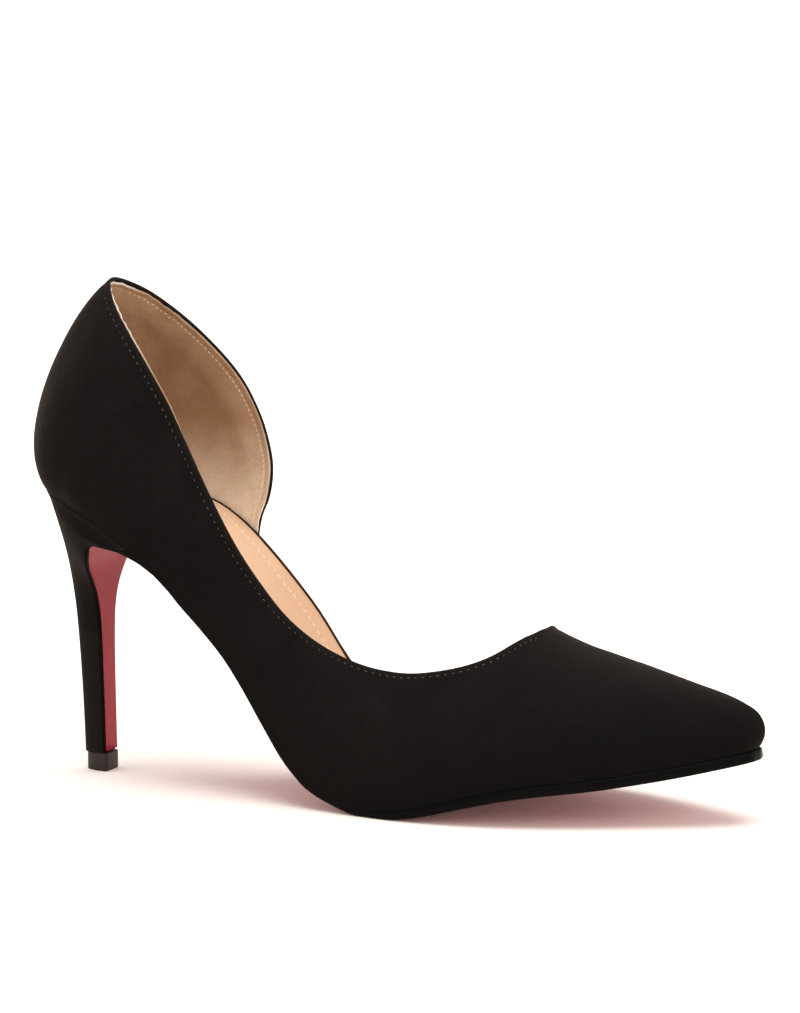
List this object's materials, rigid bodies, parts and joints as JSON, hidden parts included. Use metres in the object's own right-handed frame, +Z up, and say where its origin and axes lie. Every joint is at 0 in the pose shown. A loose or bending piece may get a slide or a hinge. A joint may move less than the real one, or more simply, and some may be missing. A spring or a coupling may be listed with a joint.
{
  "type": "asymmetric pump",
  "caption": "Pointed stiletto pump in black suede, closed on the outer side and cut away along the arch, with beige lining, peach insole, raspberry sole and glossy heel tip.",
  "frame": {"origin": "on the floor under the middle of the shoe's bounding box", "axes": "+X to the toe, +Y to the inner (arch) side, +Z up"},
  "size_m": [0.2411, 0.0768, 0.1554],
  "materials": {
    "upper": "black suede with a beige lining",
    "insole": "smooth peach sock",
    "outsole": "plain raspberry with black edges",
    "heel": "black suede cover over a plastic block",
    "top_lift": "glossy black"
  },
  "bodies": {
    "root": {"upper": "upper", "insole": "insole", "outsole": "outsole", "heel": "heel", "top_lift": "top_lift"}
  },
  "joints": []
}
